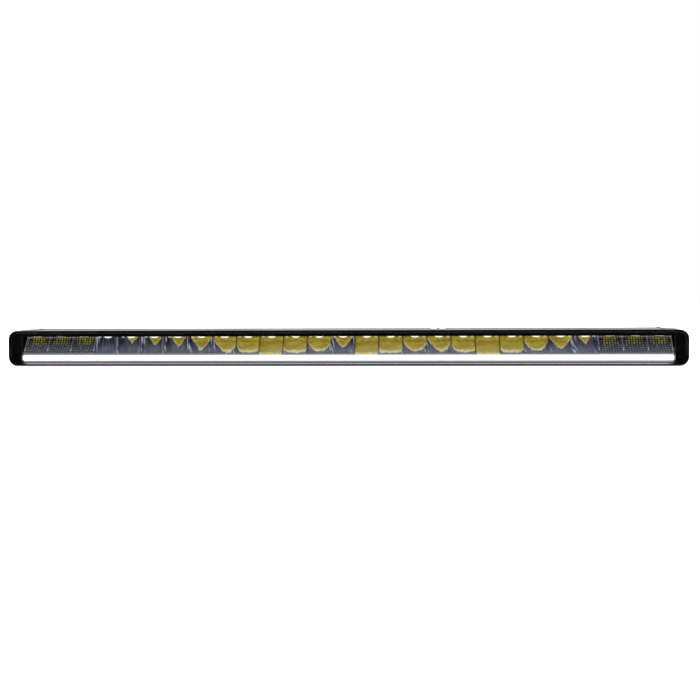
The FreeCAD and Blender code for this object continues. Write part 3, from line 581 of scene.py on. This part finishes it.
def bowl_mirror():
    """Metallised bowl with painted reflections, which also glow. The yellow light source's painted
    reflection is a patch that hangs from the top.
    """
    material, tree, shader = new_material("bowl_mirror")
    across, up = bowl_map(tree)
    down = flipped(tree, up)
    depth, half_width, lean, blunt = painted_amber_values(tree)
    place = object_place(tree)
    along = axes(tree, place)[0]
    wobble = stretched_noise(tree, place, (120.0, 120.0, 260.0), 3.0)
    crumple = stretched_noise(tree, place, (520.0, 520.0, 620.0), 3.0)
    waver = centred(tree, wobble)
    ripple = plus(tree, waver, centred(tree, crumple))

    shifted = minus(tree, across, times(tree, lean, down))
    droop = math_node(tree, "POWER", share(tree, magnitude(tree, shifted), half_width), blunt)
    reach = times(tree, depth, flipped(tree, droop))
    margin = minus(tree, plus(tree, reach, times(tree, ripple, 0.24)), down)
    mask = ramp_between(tree, margin, -0.015, 0.05)
    rim = times(tree, mask, flipped(tree, ramp_between(tree, margin, 0.05, 0.22)))
    painted_amber = bowl_amber_reflection(tree, across, up, down, waver, depth, rim)
    shown = mix_colours(tree, mask, bowl_steel_reflection(tree, across, up, down, along), painted_amber)

    # The light source's second painted reflection sits at the top, on the side away from the bar's middle.
    outer_side = times(tree, math_node(tree, "SIGN", along), SECOND_PLACE)
    off_second = magnitude(tree, minus(tree, across, outer_side))
    second = flipped(tree, ramp_between(tree, off_second, SECOND_HALF, SECOND_HALF_END))
    second = times(tree, second, ramp_between(tree, up, 0.90, 0.95), 0.6)
    shown = mix_colours(tree, second, shown, SECOND_PAINTED_REFLECTION)

    # Painted light: the painted reflections are the base colour at half strength, and the bowl also glows
    # with them.
    tree.links.new(dimmed(tree, shown, 0.5), shader.inputs["Base Color"])
    self_lit(tree, shader, shown, BOWL_PAINTED_GLOW)
    tree.links.new(minus(tree, 0.85, times(tree, mask, 0.5)), shader.inputs["Metallic"])
    tree.links.new(times_plus(tree, wobble, 0.15, 0.1), shader.inputs["Roughness"])
    tree.links.new(bump_of(tree, wobble, 0.3 * MM), shader.inputs["Normal"])
    return material


def facet_mirror():
    """Metallised facets with painted reflections, which also glow: each facet with its own painted glint,
    and the yellow light source's painted reflection in the facets of the upper middle.
    """
    material, tree, shader = new_material("facet_mirror")
    column, row = bowl_map(tree)
    whole_column, whole_row = (math_node(tree, "FLOOR", value) for value in (column, row))
    chance = tree.nodes.new("ShaderNodeTexWhiteNoise")
    tree.links.new(combine(tree, whole_column, whole_row, 0.0), chance.inputs["Vector"])
    random = chance.outputs["Value"]

    in_column, in_row = (centred(tree, math_node(tree, "FRACT", value)) for value in (column, row))
    from_middle = tree.nodes.new("ShaderNodeVectorMath")
    from_middle.operation = "LENGTH"
    tree.links.new(combine(tree, in_column, in_row, 0.0), from_middle.inputs[0])
    dot = flipped(tree, ramp_between(tree, from_middle.outputs["Value"], 0.22, 0.40))

    block = math_node(tree, "FLOOR", over(tree, column, float(FACET_COLUMNS)))
    in_block = minus(tree, column, times(tree, block, float(FACET_COLUMNS)))
    sideways = magnitude(tree, minus(tree, in_block, FACET_COLUMNS * YELLOW_MIDDLE))
    near_middle = flipped(tree, ramp_between(tree, sideways, YELLOW_COLUMNS, YELLOW_COLUMNS_END))
    high = ramp_between(tree, row, FACET_ROWS * YELLOW_FOOT, FACET_ROWS * YELLOW_FULL)
    yellow = times(tree, near_middle, high, dot)

    # Painted reflection: lighter low down and dark up high, a painted highlight on the top row, painted
    # glints on the facets' middles and painted shade away from them.
    steel_reflection = mix_colours(tree, ramp_between(tree, row, 0.0, FACET_ROWS * 0.9), FACET_REFLECTION_LOW_DOWN, FACET_REFLECTION_HIGH_UP)
    top_row = ramp_between(tree, row, FACET_ROWS - 1.3, FACET_ROWS - 0.9)
    steel_reflection = mix_colours(tree, times(tree, top_row, 0.5), steel_reflection, FACET_TOP_ROW_HIGHLIGHT)
    glint = times(tree, dot, ramp_between(tree, random, 0.25, 1.0))
    steel_reflection = mix_colours(tree, times(tree, glint, 0.5), steel_reflection, FACET_PAINTED_GLINT)
    steel_reflection = dimmed(tree, steel_reflection, times_plus(tree, dot, 0.55, 0.45))
    # The yellow light source's painted reflection, in the facets of the upper middle.
    painted_amber = mix_colours(tree, random, FACET_AMBER_REFLECTION_DARK, FACET_AMBER_REFLECTION_LIGHT)
    shown = mix_colours(tree, yellow, steel_reflection, painted_amber)

    tree.links.new(dimmed(tree, shown, 0.7), shader.inputs["Base Color"])
    self_lit(tree, shader, shown, FACET_PAINTED_GLOW)
    shader.inputs["Metallic"].default_value = 0.85
    tree.links.new(times_plus(tree, random, 0.12, 0.1), shader.inputs["Roughness"])
    return material


def wall_metal(name, dark, bright, strength):
    """Metallised walls, with light caught along their lower and upper ends."""
    material, tree, shader = new_material(name)
    place = object_place(tree)
    height = axes(tree, place)[2]
    low = flipped(tree, ramp_between(tree, height, LEDGE_TOP + 0.5 * MM, LEDGE_TOP + 12.0 * MM))
    high = ramp_between(tree, height, REFLECTOR_TOP - 4.0 * MM, REFLECTOR_TOP - 1.5 * MM)
    speckle = stretched_noise(tree, place, (900.0, 900.0, 900.0), 2.0)
    level = plus(tree, times(tree, low, 0.9), times(tree, high, 0.35))
    level = times(tree, level, ramp_between(tree, speckle, 0.3, 0.6))
    shown = mix_colours(tree, level, grey(dark, 0.2), grey(bright, 0.1))
    tree.links.new(shown, shader.inputs["Base Color"])
    self_lit(tree, shader, shown, strength)
    shader.inputs["Metallic"].default_value = 0.9
    tree.links.new(times_plus(tree, speckle, 0.2, 0.1), shader.inputs["Roughness"])
    return material


# ---- reflector sheets, grown by geometry nodes ---------------------------------------------------
SHEET_INPUTS = (("Pitch", "f"), ("Cells", "f"), ("Middle", "f"), ("Front", "f"), ("Vertex", "f"),
                ("Focal", "f"), ("Top", "f"), ("Ledge Top", "f"), ("Material", "m"))


def sheet_tree(name, *own_inputs):
    """An empty geometry tree for a reflector sheet."""
    return new_tree("GeometryNodeTree", name, SHEET_INPUTS + own_inputs, (("Geometry", "g"),))


def sheet_values(middle, cells, front, vertex, focal, mirror):
    return {"Pitch": PITCH, "Cells": float(cells), "Middle": middle, "Front": front, "Vertex": vertex,
            "Focal": focal, "Top": REFLECTOR_TOP, "Ledge Top": LEDGE_TOP, "Material": mirror}


def sheet_grid(tree, give, columns, rows):
    """A flat grid one unit high, with the place along it and up it as fields."""
    grid = tree.nodes.new("GeometryNodeMeshGrid")
    tree.links.new(times(tree, give["Pitch"], give["Cells"]), grid.inputs["Size X"])
    grid.inputs["Size Y"].default_value = 1.0
    tree.links.new(plus(tree, times(tree, give["Cells"], float(columns)), 1.0), grid.inputs["Vertices X"])
    grid.inputs["Vertices Y"].default_value = rows + 1
    along, upwards, _ = axes(tree, tree.nodes.new("GeometryNodeInputPosition").outputs[0])
    return grid.outputs["Mesh"], along, plus(tree, upwards, 0.5)


def curve_depth(tree, give, squares):
    """How deep the parabola lies at a squared distance from its axis, no further forward than the front."""
    hollow = over(tree, squares, times(tree, give["Focal"], 4.0))
    return math_node(tree, "MAXIMUM", minus(tree, give["Vertex"], hollow), give["Front"])


def end_sheet(tree, give, sink, mesh, x, y, z):
    """Moves the grid's points into place, realises the mesh and gives it its material."""
    setter = tree.nodes.new("GeometryNodeSetPosition")
    tree.links.new(mesh, setter.inputs["Geometry"])
    tree.links.new(combine(tree, plus(tree, x, give["Middle"]), y, z), setter.inputs["Position"])
    realise = tree.nodes.new("GeometryNodeRealizeInstances")
    tree.links.new(setter.outputs[0], realise.inputs[0])
    dress = tree.nodes.new("GeometryNodeSetMaterial")
    tree.links.new(realise.outputs[0], dress.inputs["Geometry"])
    tree.links.new(give["Material"], dress.inputs["Material"])
    tree.links.new(dress.outputs[0], sink.inputs["Geometry"])
    return tree


def bowl_tree():
    """A row of half paraboloids with a flat floor in front and a small ledge below it."""
    tree, source, sink = sheet_tree("spot_bowls", ("Foot", "f"))
    give = source.outputs
    mesh, x, v = sheet_grid(tree, give, BOWL_COLUMNS, BOWL_ROWS)
    cell = math_node(tree, "ROUND", over(tree, x, give["Pitch"]))
    local = minus(tree, x, times(tree, cell, give["Pitch"]))
    rise = share(tree, minus(tree, v, FLOOR_SHARE), 1.0 - FLOOR_SHARE)
    out = share(tree, minus(tree, v, LEDGE_SHARE), FLOOR_SHARE - LEDGE_SHARE)
    foot = share(tree, v, LEDGE_SHARE)
    drop = times(tree, flipped(tree, rise), minus(tree, give["Top"], give["Ledge Top"]))
    deep = curve_depth(tree, give, plus(tree, times(tree, local, local), times(tree, drop, drop)))
    y = times_plus(tree, minus(tree, deep, give["Front"]), out, give["Front"])
    below = times(tree, flipped(tree, foot), minus(tree, give["Ledge Top"], give["Foot"]))
    z = minus(tree, minus(tree, give["Top"], drop), below)
    return end_sheet(tree, give, sink, mesh, x, y, z)


def facet_tree():
    """A parabolic trough covered in small pillow-shaped facets."""
    tree, source, sink = sheet_tree("flood_facets", ("Pillow", "f"), ("Columns", "f"), ("Rows", "f"))
    give = source.outputs
    mesh, x, v = sheet_grid(tree, give, FACET_COLUMNS * FACET_STEPS, FACET_ROWS * FACET_STEPS)
    drop = times(tree, flipped(tree, v), minus(tree, give["Top"], give["Ledge Top"]))
    deep = curve_depth(tree, give, times(tree, drop, drop))
    column = times(tree, over(tree, x, give["Pitch"]), give["Columns"])
    across = math_node(tree, "FRACT", plus(tree, column, times(tree, give["Columns"], 0.5)))
    up = math_node(tree, "FRACT", times(tree, v, give["Rows"]))
    waves = (math_node(tree, "SINE", times(tree, value, math.pi)) for value in (across, up))
    bulge = times(tree, magnitude(tree, times(tree, *waves)), give["Pillow"])
    y = math_node(tree, "MAXIMUM", minus(tree, deep, bulge), give["Front"])
    lifted = times_plus(tree, bulge, FACET_RISE, minus(tree, give["Top"], drop))
    z = math_node(tree, "MINIMUM", lifted, give["Top"])
    return end_sheet(tree, give, sink, mesh, x, y, z)


# ---- meshes --------------------------------------------------------------------------------------
def placed(name, data):
    """A new object in the scene, at the origin."""
    thing = bpy.data.objects.new(name, data)
    bpy.context.scene.collection.objects.link(thing)
    return thing


def evaluated_mesh(piece):
    """The piece's mesh with its modifiers applied, as plain data."""
    bpy.context.view_layer.update()
    return bpy.data.meshes.new_from_object(piece.evaluated_get(bpy.context.evaluated_depsgraph_get()))


def grown(name, tree, values):
    """Runs a geometry tree once and keeps its result as a plain mesh object at the origin."""
    seed = placed(name + "_seed", bpy.data.meshes.new(name + "_seed"))
    modifier = seed.modifiers.new("shape", "NODES")
    modifier.node_group = tree
    for item in tree.interface.items_tree:
        if item.in_out == "INPUT" and item.name in values:
            modifier[item.identifier] = values[item.name]
    mesh = evaluated_mesh(seed)
    mesh.name = name
    bpy.data.objects.remove(seed)
    return placed(name, mesh)


def thickened(piece):
    """Gives a sheet its wall, on its back, as a closed shell."""
    modifier = piece.modifiers.new("wall", "SOLIDIFY")
    modifier.thickness = SKIN
    modifier.offset = 1.0
    modifier.use_even_offset = False
    sheet = piece.data
    shell = evaluated_mesh(piece)
    piece.modifiers.clear()
    piece.data = shell
    bpy.data.meshes.remove(sheet)
    return piece


def write_uv(piece, rule):
    """Writes a UV map from a rule on the middle of each face and each of its corners."""
    mesh = piece.data
    layer = mesh.uv_layers.new(name="bowl")
    for face in mesh.polygons:
        for loop in face.loop_indices:
            corner = mesh.vertices[mesh.loops[loop].vertex_index].co
            layer.data[loop].uv = rule(face.center, corner)


def smooth(piece, degrees):
    piece.data.shade_smooth()
    piece.data.set_sharp_from_angle(angle=math.radians(degrees))


def outward(mesh):
    """Turns every face of closed shells outwards."""
    work = bmesh.new()
    work.from_mesh(mesh)
    bmesh.ops.recalc_face_normals(work, faces=work.faces)
    work.to_mesh(mesh)
    work.free()


def add_slab(verts, faces, outline, x0, x1):
    """A plate of the given outline in depth and height, between two places along the bar."""
    start, count = len(verts), len(outline)
    for x in (x0, x1):
        verts.extend((x, y, z) for y, z in outline)
    faces.append(tuple(start + index for index in range(count)))
    faces.append(tuple(start + count + index for index in reversed(range(count))))
    for index in range(count):
        after = (index + 1) % count
        faces.append((start + index, start + count + index, start + count + after, start + after))


# ---- reflector pieces ----------------------------------------------------------------------------
def on_the_bar(piece, *nodes):
    """Rides a reflector piece on the bar, where it replaces the given nodes."""
    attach(piece, "bar")
    if nodes:
        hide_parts(*nodes)


def module_middle(name):
    low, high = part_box(name + "_reflector")
    return (low.x + high.x) / 2


def up_share(corner):
    return (corner.z - LEDGE_TOP) / (REFLECTOR_TOP - LEDGE_TOP)


def write_painted_amber(piece, middle, patches):
    """Gives each bowl's faces the values of its painted amber reflection."""
    layer = piece.data.attributes.new("painted_amber_reflection", "FLOAT_COLOR", "CORNER")
    for face in piece.data.polygons:
        cell = round((face.center.x - middle) / PITCH) + SPOT_CELLS // 2
        depth, half_width, lean, blunt = patches[min(max(cell, 0), SPOT_CELLS - 1)]
        for loop in face.loop_indices:
            layer.data[loop].color = (depth, half_width, lean, blunt / BLUNT_SCALE)


def spot_bowls(mirror):
    tree = bowl_tree()
    for order, name in enumerate(SPOT_MODULES):
        middle = module_middle(name)
        values = sheet_values(middle, SPOT_CELLS, REFLECTOR_FRONT, SPOT_VERTEX, SPOT_FOCAL, mirror)
        piece = thickened(grown(name + "_bowls", tree, values | {"Foot": REFLECTOR_FOOT}))

        def across_and_up(face_middle, corner):
            cell = round((face_middle.x - middle) / PITCH)
            centre = middle + cell * PITCH
            return ((corner.x - centre) / (PITCH / 2), up_share(corner))

        write_uv(piece, across_and_up)
        write_painted_amber(piece, middle, PAINTED_AMBER_REFLECTIONS[order * SPOT_CELLS:(order + 1) * SPOT_CELLS])
        smooth(piece, BOWL_CREASE)
        on_the_bar(piece, name + "_reflector")


def flood_cells(mirror, wall_materials):
    tree = facet_tree()
    for name in FLOOD_MODULES:
        middle = module_middle(name)
        front = REFLECTOR_FRONT + FACET_SETBACK
        values = sheet_values(middle, FLOOD_CELLS, front, FLOOD_VERTEX, FLOOD_FOCAL, mirror)
        values |= {"Pillow": FACET_SWELL, "Columns": float(FACET_COLUMNS), "Rows": float(FACET_ROWS)}
        piece = thickened(grown(name + "_facets", tree, values))

        def column_and_row(face_middle, corner):
            along = (corner.x - middle) / PITCH + FLOOD_CELLS / 2
            return (along * FACET_COLUMNS, up_share(corner) * FACET_ROWS)

        write_uv(piece, column_and_row)
        smooth(piece, FACET_CREASE)
        on_the_bar(piece, name + "_reflector")
        on_the_bar(flood_walls(name, middle, wall_materials))


def flood_walls(name, middle, wall_materials):
    """Side walls between the facet blocks and the ledge that they stand on, as one moulding.

    The three materials are for the walls' sides, their front edges and the ledge.
    """
    wall_outline = (
        (REFLECTOR_FRONT, REFLECTOR_FOOT),
        (REFLECTOR_FRONT, LEDGE_TOP),
        (REFLECTOR_FRONT + WALL_FOOT_STEP, LEDGE_TOP + WALL_FOOT_RISE),
        (WALL_TOP_FRONT, REFLECTOR_TOP),
        (FLOOD_VERTEX, REFLECTOR_TOP),
        (FLOOD_VERTEX, REFLECTOR_FOOT),
    )
    ledge_outline = (
        (REFLECTOR_FRONT, REFLECTOR_FOOT),
        (REFLECTOR_FRONT, LEDGE_TOP),
        (REFLECTOR_FRONT + LEDGE_DEPTH, LEDGE_TOP),
        (REFLECTOR_FRONT + LEDGE_DEPTH, REFLECTOR_FOOT),
    )
    half = FLOOD_CELLS / 2 * PITCH
    verts, faces = [], []
    for edge in range(FLOOD_CELLS + 1):
        x = middle + (edge - FLOOD_CELLS / 2) * PITCH
        x = min(max(x, middle - half + WALL_INSET), middle + half - WALL_INSET)
        add_slab(verts, faces, wall_outline, x - WALL_THICKNESS / 2, x + WALL_THICKNESS / 2)
    ledge_half = half - MODULE_GAP / 2
    add_slab(verts, faces, ledge_outline, middle - ledge_half, middle + ledge_half)
    mesh = bpy.data.meshes.new(name + "_walls")
    mesh.from_pydata(verts, [], faces)
    outward(mesh)
    side, front_edge, ledge = range(3)
    for material in wall_materials:
        mesh.materials.append(material)
    for face in mesh.polygons:
        if face.center.z < LEDGE_TOP:
            face.material_index = ledge
        elif face.normal.y < -0.3:
            face.material_index = front_edge
        else:
            face.material_index = side
    return placed(name + "_walls", mesh)


# ---- CAD nodes -----------------------------------------------------------------------------------
def slot_materials():
    """The finish of every material slot that CAD nodes carry."""
    extruded = (4.0, 2400.0, 2400.0)
    brushed = (6.0, 2200.0, 2200.0)
    tumbled = (900.0, 900.0, 900.0)
    turned = (900.0, 900.0, 60.0)
    return {
        "bezel_black": coated("bezel_black", 0.004, 0.30, coat=0.15),
        "lens_clear": clear_lens(),
        "seal_rubber": speckled("seal_rubber", grey(0.012), grey(0.03), 0.6, 1500.0),
        "trim_black": coated("trim_black", 0.003, 0.16, 700.0, coat=0.5),
        "housing_anodised": drawn("housing_anodised", 0.026, 0.06, 0.32, extruded, 0.35),
        "cap_black": coated("cap_black", 0.012, 0.38),
        "screw_black": drawn("screw_black", 0.03, 0.07, 0.38, tumbled, 0.7),
        "reflector_metallised": speckled("metallised_plain", (0.45, 0.48, 0.54, 1), (0.6, 0.62, 0.68, 1),
                                         0.12, 700.0, 0.9),
        "board_white": speckled("board_black", grey(0.015), grey(0.04), 0.45, 1200.0),
        "pad_grey": speckled("pad_grey", grey(0.4), grey(0.5), 0.7),
        "light_source": glowing("light_source", (0.86, 0.88, 0.92, 1), WHITE, LED_GLOW, 0.15),
        "screw_steel": drawn("screw_steel", 0.5, 0.65, 0.3, tumbled, 1.0),
        "opal_lit": lit_opal(),
        "tray_white": speckled("tray_white", grey(0.8), grey(0.88), 0.5),
        "board_green": speckled("board_green", (0.01, 0.10, 0.03, 1), (0.02, 0.16, 0.05, 1), 0.35, 700.0),
        "spacer_brass": drawn("spacer_brass", 0.5, 0.6, 0.3, turned, 1.0),
        "part_grey": speckled("part_grey", grey(0.03), grey(0.06), 0.4, 1400.0),
        "can_aluminium": drawn("can_aluminium", 0.6, 0.72, 0.3, turned, 1.0),
        "gland_black": speckled("gland_black", grey(0.012), grey(0.028), 0.42, 1300.0),
        "bracket_steel": drawn("bracket_steel", 0.45, 0.62, 0.3, brushed, 1.0),
        "lug_black": coated("lug_black", 0.014, 0.42),
        "foot_black": coated("foot_black", 0.014, 0.40),
    }


def dress_nodes(materials):
    for entry in frame["record"]["subparts"]:
        mesh = frame["nodes"][entry["node"]].data
        mesh.materials.clear()
        mesh.materials.append(materials[entry["material_slot"]])


# ---- stage ---------------------------------------------------------------------------------------
def stage():
    """A pale floor that glows almost white, so that it has no horizon."""
    corners = [(x * FLOOR_HALF, y * FLOOR_HALF, 0) for x, y in ((-1, -1), (1, -1), (1, 1), (-1, 1))]
    mesh = bpy.data.meshes.new("floor")
    mesh.from_pydata(corners, [], [(0, 1, 2, 3)])
    floor = placed("floor", mesh)
    floor.location.z = CAD_BOX[0][2] - FLOOR_DROP
    material, _, shader = new_material("pale_floor")
    shader.inputs["Base Color"].default_value = (0.95, 0.95, 0.95, 1.0)
    shader.inputs["Roughness"].default_value = 1.0
    shader.inputs["Specular IOR Level"].default_value = 0.0
    shader.inputs["Emission Color"].default_value = WHITE
    shader.inputs["Emission Strength"].default_value = FLOOR_GLOW
    mesh.materials.append(material)
    floor.visible_glossy = False


def studio():
    """White surround for the eye; for the parts it is dark in front, and bright behind, below and beside."""
    world = bpy.data.worlds.new("studio")
    bpy.context.scene.world = world
    world.use_nodes = True
    tree = world.node_tree
    background = tree.nodes["Background"]
    x, y, z = axes(tree, tree.nodes.new("ShaderNodeTexCoord").outputs["Generated"])
    behind = ramp_between(tree, y, -0.1, 0.9)
    below = ramp_between(tree, times(tree, z, -1.0), 0.35, 0.95)
    right = ramp_between(tree, x, 0.6, 1.0)
    left = ramp_between(tree, times(tree, x, -1.0), 0.6, 1.0)
    beside = times_plus(tree, left, 0.35, right)
    level = times_plus(tree, behind, 1.3, 0.01)
    level = plus(tree, times_plus(tree, below, 1.2, level), beside)
    eye = tree.nodes.new("ShaderNodeLightPath").outputs["Is Camera Ray"]
    tree.links.new(mix_colours(tree, eye, level, WHITE), background.inputs["Color"])
    background.inputs["Strength"].default_value = 1.0


def soft_light(name, place, aim, size, power):
    data = bpy.data.lights.new(name, "AREA")
    data.shape = "RECTANGLE"
    data.size, data.size_y = size
    data.energy = power
    light = placed(name, data)
    light.location = place
    light.visible_glossy = False
    light.rotation_euler = (Vector(aim) - Vector(place)).to_track_quat("-Z", "Y").to_euler()


def camera():
    data = bpy.data.cameras.new("camera")
    data.sensor_width = CAMERA_SENSOR
    data.lens = CAMERA_LENS
    eye = placed("camera", data)
    eye.location = CAMERA_PLACE
    eye.rotation_euler = [math.radians(angle) for angle in (90 - CAMERA_DOWN, CAMERA_ROLL, CAMERA_TURN)]
    bpy.context.scene.camera = eye


def render_look():
    settings = bpy.context.scene.view_settings
    settings.view_transform = "Standard"
    settings.look = "None"


# ---- put it together -----------------------------------------------------------------------------
dress_nodes(slot_materials())
spot_bowls(bowl_mirror())
flood_cells(facet_mirror(), (
    wall_metal("wall_faces", dark=0.02, bright=0.42, strength=0.9),
    wall_metal("wall_edges", dark=0.13, bright=0.80, strength=1.0),
    wall_metal("wall_ledge", dark=0.22, bright=0.30, strength=0.9),
))
stage()
studio()
soft_light("key", place=(-0.9, 1.3, 1.9), aim=(0, 0, 0), size=(2.4, 1.2), power=68.0)
soft_light("rear_fill", place=(1.4, 1.9, 0.6), aim=(0, 0, 0.03), size=(1.6, 0.8), power=45.0)
camera()
render_look()
